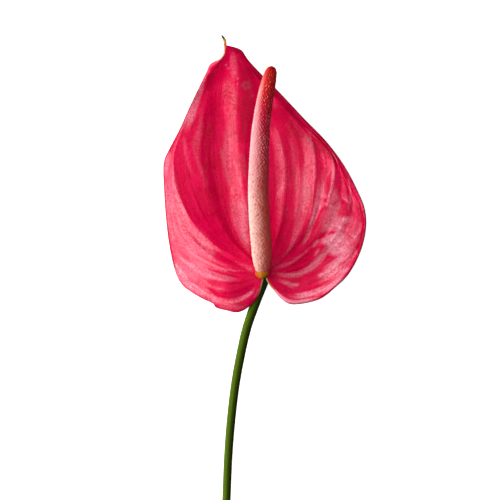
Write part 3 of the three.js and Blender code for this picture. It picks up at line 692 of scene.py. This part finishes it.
def frame_shift():
    """From the lines' own zero to the frame's, in metres: it brings the blade's left and upper
    ends to those of the frame's spathe."""
    _, _, rows = blade_middle()
    low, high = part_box("spathe")
    return np.array((low.x - rows[:, :, 0].min() * MM, high.y - TIP_POINT[-1][1] * MM, 0))


SHIFT = frame_shift()


# ---- meshes

def blank_mesh(*facts):
    """An empty mesh with a UV map and a float layer for each fact that a finish reads."""
    mesh = bmesh.new()
    mesh.loops.layers.uv.new("UVMap")
    for fact in facts:
        mesh.verts.layers.float.new(fact)
    return mesh


def add_sheet(mesh, points, facts):
    """Adds a grid with a vertex at each of points, in millimetres, by row and column. Its UVs run
    from 0 to 1, across and along."""
    rows, columns = points.shape[:2]
    verts = bmesh.ops.create_grid(
        mesh, x_segments=columns - 1, y_segments=rows - 1, size=1, calc_uvs=True)["verts"]
    places = (points * MM + SHIFT).reshape(-1, 3)
    for vert, place in zip(verts, places):
        vert.co = place
    for name, values in facts.items():
        layer = mesh.verts.layers.float[name]
        for vert, value in zip(verts, np.broadcast_to(values, (rows, columns)).ravel()):
            vert[layer] = value


def tube_mesh(line, shares, radii, **facts):
    """A tube round a line, with open ends. radii has a row for each ring, and goes once round, seam
    to seam. The fact "flank" is 0 on the left, 0.5 on the top and the bottom, 1 on the right."""
    centres, _, right, up = line.frames(shares)
    turn = np.linspace(0, 2 * np.pi, radii.shape[1])
    points = (
        centres[:, None, :]
        + (radii * np.cos(turn))[:, :, None] * right[:, None, :]
        + (radii * np.sin(turn))[:, :, None] * up[:, None, :])
    facts = {"along": shares[:, None], "flank": (1 + np.cos(turn)) / 2, **facts}
    mesh = blank_mesh(*facts)
    add_sheet(mesh, points, facts)
    bmesh.ops.remove_doubles(mesh, verts=mesh.verts, dist=1e-7)
    return mesh


def close_ends(mesh):
    """Fills the open ends of a tube with flat faces."""
    rims = [edge for edge in mesh.edges if edge.is_boundary]
    bmesh.ops.holes_fill(mesh, edges=rims, sides=0)


def add_object(name, data):
    made = bpy.data.objects.new(name, data)
    bpy.context.scene.collection.objects.link(made)
    return made


def add_mesh_object(name, mesh, material):
    data = bpy.data.meshes.new(name)
    mesh.to_mesh(data)
    mesh.free()
    data.materials.append(material)
    return add_object(name, data)


def finish_piece(name, mesh, material, node):
    """Makes a mesh an object with its finish, which stands for a node of the frame."""
    bmesh.ops.recalc_face_normals(mesh, faces=mesh.faces)
    for face in mesh.faces:
        face.smooth = len(face.verts) <= 4
    piece = add_mesh_object(name, mesh, material)
    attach(piece, "root")
    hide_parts(node)


def make_spathe(material):
    upper, lower, facts = blade_skins()
    mesh = blank_mesh("under", *facts)
    add_sheet(mesh, upper, {**facts, "under": 0})
    add_sheet(mesh, lower, {**facts, "under": 1})
    bmesh.ops.bridge_loops(mesh, edges=[edge for edge in mesh.edges if edge.is_boundary])
    bmesh.ops.remove_doubles(mesh, verts=mesh.verts, dist=1e-6)
    finish_piece("spathe_skin", mesh, material, "spathe")


def waver(turn, wave, terms):
    """How far a row of florets strays, at a turn round the spadix and a place along it."""
    return sum(size * np.sin(times * turn + waves * wave) for size, times, waves in terms)


def floret_lattice(shares, columns):
    """How high each point of the spadix stands in its floret, from 0 in the seams to 1 in the
    middle, and a chance number from 0 to 1 for each floret. The florets are four-sided, each
    row stands in the gaps of the row before, and the rows wind slowly round the spadix and
    waver a little."""
    turn = np.linspace(0, 2 * np.pi, columns)[None, :]
    wave = 2 * np.pi * shares[:, None]
    rows = shares[:, None] * FLORET_ROWS + waver(turn, wave, LENGTHWISE_WAVER)
    around = (
        turn * FLORETS_ROUND / np.pi + FLORET_TWIST * shares[:, None]
        + waver(turn, wave, ROUND_WAVER))
    knob = np.abs(np.sin(np.pi / 2 * (rows + around)) * np.sin(np.pi / 2 * (rows - around)))
    rising = np.floor((rows + around) / 2).astype(int)
    falling = np.floor((rows - around) / 2).astype(int)
    table = np.random.default_rng(SEED).random((FLORET_ROWS, 2 * FLORETS_ROUND))
    return knob, table[(rising + falling) % FLORET_ROWS, (rising - falling) % (2 * FLORETS_ROUND)]


def make_spadix(material):
    shares = np.linspace(0, 1, SPADIX_RINGS)
    profile = smooth_curve([(*knot, 0) for knot in SPADIX_PROFILE], np.linspace(0, 1, PROFILE_SAMPLES))
    radius = np.interp(shares * SPADIX_PROFILE[-1][0], profile[:, 0], profile[:, 1])
    knob, chance = floret_lattice(shares, SPADIX_COLUMNS)
    crown = knob ** 0.5
    stigma = smooth_step(knob, *STIGMA_EDGE)
    fade = np.clip(radius / FULL_FLORET_RADIUS, 0, 1)
    chanced = LEAST_STIGMA + (1 - LEAST_STIGMA) * chance
    relief = FLORET_RISE * (crown - CROWN_MEAN) + STIGMA_RISE * stigma * chanced
    mesh = tube_mesh(
        Line(SPADIX_LINE), shares, radius[:, None] + relief * fade[:, None],
        crown=crown, stigma=stigma, chance=chance)
    close_ends(mesh)
    finish_piece("spadix_florets", mesh, material, "spadix")


def make_stem(material):
    line = Line(STEM_LINE)
    shares = np.linspace(0, 1, STEM_RINGS)
    radius = line.between(shares, STEM_RADII)
    turn = np.linspace(0, 2 * np.pi, STEM_COLUMNS)
    flutes = sum(depth * np.sin(times * turn + start) for depth, times, start in STEM_FLUTES)
    mesh = tube_mesh(line, shares, radius[:, None] * (STEM_SKIN + flutes))
    centre = np.array(STEM_LINE[0]) * MM + SHIFT
    for vert in mesh.verts:
        reach = 1 - (vert.co.y - centre[1]) / (STEM_SLANT_REACH * MM)
        if reach > 0:
            vert.co.y += STEM_CUT_SLANT * (vert.co.z - centre[2]) * min(reach, 1)
    close_ends(mesh)
    finish_piece("stem_skin", mesh, material, "stem")


def make_neck(material):
    leave = Line(STEM_LINE).frames([1])[1][0]
    arrive = Line(SPADIX_LINE).frames([0])[1][0]
    top = np.array(STEM_LINE[-1])
    foot = np.array(SPADIX_LINE[0])
    line = Line((
        top - NECK_SINK * leave, top + 3 * NECK_SINK * leave, *NECK_LINE,
        foot - 3 * NECK_SINK * arrive, foot + NECK_SINK * arrive))
    shares = np.linspace(0, 1, NECK_RINGS)
    radius = line.between(shares, NECK_RADII)
    mesh = tube_mesh(line, shares, np.repeat(radius[:, None], NECK_COLUMNS, axis=1))
    close_ends(mesh)
    finish_piece("spadix_neck", mesh, material, "spadix_stipe")


# ---- finishes

class Value:
    """A socket of a node tree that arithmetic on it turns into Math nodes."""

    def __init__(self, finish, socket):
        self.finish = finish
        self.socket = socket

    def math(self, operation, other):
        return self.finish.math(operation, self, other)

    def __add__(self, other):
        return self.math("ADD", other)

    def __sub__(self, other):
        return self.math("SUBTRACT", other)

    def __rsub__(self, other):
        return self.finish.math("SUBTRACT", other, self)

    def __mul__(self, other):
        return self.math("MULTIPLY", other)

    def __pow__(self, other):
        return self.math("POWER", other)

    __radd__ = __add__
    __rmul__ = __mul__

    def clipped(self):
        return self.math("MINIMUM", 1).math("MAXIMUM", 0)

    def band(self, low, high):
        """0 at low, 1 at high, straight between."""
        return self.finish.node(
            "ShaderNodeMapRange", {"clamp": True}, {"Value": self, "From Min": low, "From Max": high})


class Finish:
    """A material with one Principled shader, built by small calls."""

    def __init__(self, name, **constants):
        self.material = bpy.data.materials.new(name)
        self.material.use_nodes = True
        self.tree = self.material.node_tree
        self.shader = self.tree.nodes["Principled BSDF"]
        for socket, value in constants.items():
            self.shader.inputs[socket.replace("_", " ")].default_value = value

    def node(self, kind, settings=None, inputs=None, output=0):
        made = self.tree.nodes.new(kind)
        for name, value in (settings or {}).items():
            setattr(made, name, value)
        for name, value in (inputs or {}).items():
            if isinstance(value, Value):
                self.tree.links.new(value.socket, made.inputs[name])
            else:
                made.inputs[name].default_value = value
        return Value(self, made.outputs[output])

    def math(self, operation, first, second):
        return self.node("ShaderNodeMath", {"operation": operation}, {0: first, 1: second})

    def fact(self, name):
        return self.node("ShaderNodeAttribute", {"attribute_name": name}, output="Fac")

    def noise(self, scale, detail, roughness=0.5, place=None):
        """Noise in the object's own space, or at another place."""
        place = place or self.node("ShaderNodeTexCoord", output="Object")
        return self.node("ShaderNodeTexNoise", inputs={
            "Vector": place, "Scale": scale, "Detail": detail, "Roughness": roughness})

    def streaks(self, scale, roughness=0.5):
        """Noise drawn out over the UV map."""
        uv = self.node("ShaderNodeTexCoord", output="UV")
        drawn_out = self.node("ShaderNodeMapping", inputs={"Vector": uv, "Scale": scale})
        return self.noise(1, 4, roughness, drawn_out)

    def ramp(self, value, stops):
        made = self.node("ShaderNodeValToRGB", inputs={"Fac": value})
        set_stops(made.socket.node.color_ramp, stops)
        return made

    def mix(self, share, first, second):
        """Mixes two colours, each one a Value or screen values."""
        first, second = (
            paint if isinstance(paint, Value) else rgba(*paint) for paint in (first, second))
        return self.node("ShaderNodeMix", {"data_type": "RGBA"}, {0: share, 6: first, 7: second}, 2)

    def bump(self, height, distance, strength=1):
        return self.node("ShaderNodeBump", inputs={
            "Height": height, "Distance": distance, "Strength": strength})

    def feed(self, **sockets):
        for name, value in sockets.items():
            self.tree.links.new(value.socket, self.shader.inputs[name.replace("_", " ")])
        return self.material


def rgba(*screen_values):
    """The opaque shader colour of screen values from 0 to 255."""
    shares = [value / 255 for value in screen_values]
    return *(share / 12.92 if share <= 0.04045 else ((share + 0.055) / 1.055) ** 2.4 for share in shares), 1


def set_stops(ramp, stops):
    while len(ramp.elements) < len(stops):
        ramp.elements.new(0.5)
    for element, (position, screen_values) in zip(ramp.elements, stops):
        element.position = position
        element.color = rgba(*screen_values)


def spathe_finish():
    """Waxy crimson pink: pebbled skin, strokes of deeper crimson with painted shade beside the notch,
    strokes of pale painted sheen brushed in streaks that fan out from the notch, a net of crinkles
    in the right lobe, a paler back, a painted shade line along the right margin, cream rims beside
    the notch and the tip, and a tip point that turns from orange to black."""
    finish = Finish(
        "spathe_wax", IOR=1.5, Specular_IOR_Level=0.06, Specular_Tint=(1, 0.88, 1, 1), Coat_IOR=1.5,
        Coat_Roughness=0.15)
    streaks = finish.streaks((110, 7, 1))
    fans = finish.streaks((36, 3.5, 1), 0.6)
    mottle = finish.noise(160, 3)
    pebble = finish.noise(1100, 2, 0.6)
    folds = finish.noise(200, 5, 0.65)
    grain = pebble.band(0.36, 0.64)
    tone = (streaks * 0.3 + mottle * 0.25 + pebble * 0.45).band(0.4, 0.6)
    body = finish.mix(tone, CRIMSON, BRIGHT_CRIMSON)
    # Deeper crimson, with painted shade under the neck beside the notch
    body = finish.mix(finish.fact("deep_and_shade"), body, DEEP_CRIMSON_AND_SHADE)
    brush = (fans * 0.3 + streaks * 0.4 + folds * 0.3).band(0.36, 0.64) * 1.1 + grain * 0.9
    # Painted sheen: pale pink brushed where the wax catches the light
    body = finish.mix((finish.fact("painted_sheen") * brush * 0.95).clipped(), body, PAINTED_SHEEN_PINK)
    for mark, share, paint in SPATHE_MARKS:
        body = finish.mix(finish.fact(mark) * share, body, paint)
    near_notch = 1 - finish.fact("notch").band(3, 11)
    rim = 1 - finish.fact("edge").band(0.35, 0.9)
    body = finish.mix(rim * near_notch, body, NOTCH_RIM)
    body = finish.mix(finish.fact("cream"), body, CREAM_RIM)
    tip = finish.fact("tip")
    body = finish.mix(tip.band(0.0, 0.3), body, finish.ramp(tip, TIP_STOPS))
    lobe = finish.fact("lobe")
    height = (
        pebble * 0.07 + streaks * (lobe * 0.05 + 0.03) + fans * (lobe * 0.2 + 0.04)
        + folds * (finish.fact("crinkle") * 0.4 + 0.03))
    wax = finish.fact("wax") * (grain * 0.85 + folds.band(0.3, 0.7) * 0.35)
    return finish.feed(
        Base_Color=body, Roughness=0.13 + mottle * 0.06, Coat_Weight=wax, Normal=finish.bump(height, MM))


def spadix_finish():
    """Beaded florets, cream-pink at the foot, through rose to red at the end, and riper in their
    seams. The left flank is paler as painted light, and the right flank is painted riper, darker and
    redder as shade, with a painted red reflection of the spathe along its edge. Their stigmas are
    dark pink dots in the lower half and cream ones in the upper half."""
    finish = Finish(
        "spadix_florets", IOR=1.5, Specular_IOR_Level=0.12, Subsurface_Weight=0.15,
        Subsurface_Radius=(1.0, 0.15, 0.12), Subsurface_Scale=0.004, Sheen_Weight=0.1, Sheen_Roughness=0.4,
        Sheen_Tint=(1, 0.9, 0.86, 1))
    along = finish.fact("along")
    crown = finish.fact("crown")
    chance = finish.fact("chance")
    flank = finish.fact("flank")
    # Painted shade: the right flank is painted riper, darker and redder, and the left flank stays pale as
    # painted light; seams and chance add ripeness of their own
    shade_and_ripeness = (
        flank.band(0.03, 0.8) ** 0.8 * (along.band(0.65, 0.95) * 1.3 + 0.9)
        + (1 - crown.band(0.25, 0.85)) * 0.15 + chance * 0.16)
    body = finish.mix(shade_and_ripeness.clipped(), finish.ramp(along, LIT_PALE_FLORETS), finish.ramp(along, SHADED_RIPE_FLORETS))
    # Painted reflection: the spathe's red painted along the right edge
    body = finish.mix(flank.band(0.85, 1.0) * 0.6, body, PAINTED_SPATHE_REFLECTION)
    dotted = finish.fact("stigma") * (chance.band(0.4, 1.0) * 0.75 + 0.2)
    body = finish.mix(dotted, body, finish.ramp(along, STIGMAS))
    grain = finish.bump(finish.noise(2500, 2), 0.05 * MM, 0.4)
    return finish.feed(Base_Color=body, Roughness=0.46 - crown * 0.06, Normal=grain)


def stem_finish():
    """Satin green stalk with fine lengthwise lines, painted darker on its right flank as shade, and
    darker and bluer under the flower, where the darkness is painted shade from the spathe."""
    finish = Finish("stem_skin", IOR=1.45, Specular_IOR_Level=0.06)
    lines = finish.streaks((60, 8, 1))
    body = finish.mix(lines.band(0.35, 0.65), STEM_GREEN, STEM_LIGHT_GREEN)
    # Painted shade: the right flank darker
    body = finish.mix(finish.fact("flank").band(0.1, 0.9), body, STEM_PAINTED_SHADE)
    # Painted shade under the flower, darker and bluer
    body = finish.mix(finish.fact("along").band(0.955, 0.995), body, STEM_HEAD_SHADE)
    grain = finish.bump(lines, 0.15 * MM, 0.5)
    return finish.feed(Base_Color=body, Roughness=0.5 + lines * 0.1, Normal=grain)


def neck_finish():
    """Ochre neck with orange blotches, orange on both flanks, and painted dark below its collar as shade."""
    finish = Finish("neck_skin", IOR=1.45, Specular_IOR_Level=0.15)
    blotch = finish.noise(400, 3)
    flank = finish.fact("flank")
    sides = 1 - flank.band(0.02, 0.3) + flank.band(0.6, 0.95)
    orange = (blotch.band(0.45, 0.65) * 0.5 + sides * 0.8).clipped()
    body = finish.mix(orange, NECK_OCHRE, NECK_ORANGE)
    # Painted shade below the collar
    body = finish.mix(finish.fact("along").band(0.45, 0.66), NECK_FOOT_SHADE, body)
    grain = finish.bump(blotch, 0.08 * MM, 0.5)
    return finish.feed(Base_Color=body, Roughness=0.4 + blotch * 0.1, Normal=grain)


# ---- stage

def make_floor():
    """A wide white sheet with a glow of its own, so that the shadow on it stays faint. It throws
    no light on the flower."""
    finish = Finish(
        "floor_paper", Roughness=0.9, Specular_IOR_Level=0.0, Emission_Color=(1, 1, 1, 1),
        Emission_Strength=FLOOR_GLOW)
    tone = finish.noise(2, 2)
    material = finish.feed(Base_Color=finish.mix(tone, FLOOR_GREY, FLOOR_WHITE))
    mesh = bmesh.new()
    bmesh.ops.create_grid(mesh, x_segments=1, y_segments=1, size=FLOOR_HALF * MM)
    floor = add_mesh_object("floor", mesh, material)
    floor.visible_diffuse = False
    floor.visible_glossy = False


def softbox(name, place, width, height, power, gloss_only):
    """A soft light at a place in metres from the flower's middle, turned towards it."""
    lamp = bpy.data.lights.new(name, "AREA")
    lamp.shape = "RECTANGLE"
    lamp.size = width
    lamp.size_y = height
    lamp.energy = power
    box = add_object(name, lamp)
    box.location = Vector(SHIFT) + Vector(place)
    box.rotation_euler = Vector(place).to_track_quat("Z", "Y").to_euler()
    box.visible_camera = False
    box.visible_glossy = gloss_only
    box.visible_diffuse = not gloss_only


def light_the_stage():
    """A large soft light on the left, one above it that only shines back from the wax, one that
    glances over the flower from low on the left, a weak one overhead, and a dim even room that
    isn't mirrored. The view shows colours as they are."""
    world = bpy.data.worlds.new("room")
    bpy.context.scene.world = world
    world.use_nodes = True
    background = world.node_tree.nodes["Background"].inputs
    background["Color"].default_value = (1, 1, 1, 1)
    background["Strength"].default_value = ROOM_LIGHT
    world.cycles_visibility.glossy = False
    for light in LIGHTS:
        softbox(*light)
    view = bpy.context.scene.view_settings
    view.view_transform = "Standard"
    view.look = "None"
    view.exposure = 0
    view.gamma = 1


def place_camera():
    """Straight above the flower, far enough for a long lens, with the spathe's tip up."""
    data = bpy.data.cameras.new("camera")
    data.sensor_width = SENSOR
    data.lens = SENSOR * CAMERA_HEIGHT / VIEW_WIDTH
    data.clip_start = 0.1
    data.clip_end = 100
    camera = add_object("camera", data)
    camera.location = Vector(SHIFT) + Vector((0, 0, CAMERA_HEIGHT * MM))
    bpy.context.scene.camera = camera


def main():
    place_camera()
    light_the_stage()
    make_floor()
    make_spathe(spathe_finish())
    make_spadix(spadix_finish())
    make_neck(neck_finish())
    make_stem(stem_finish())


main()
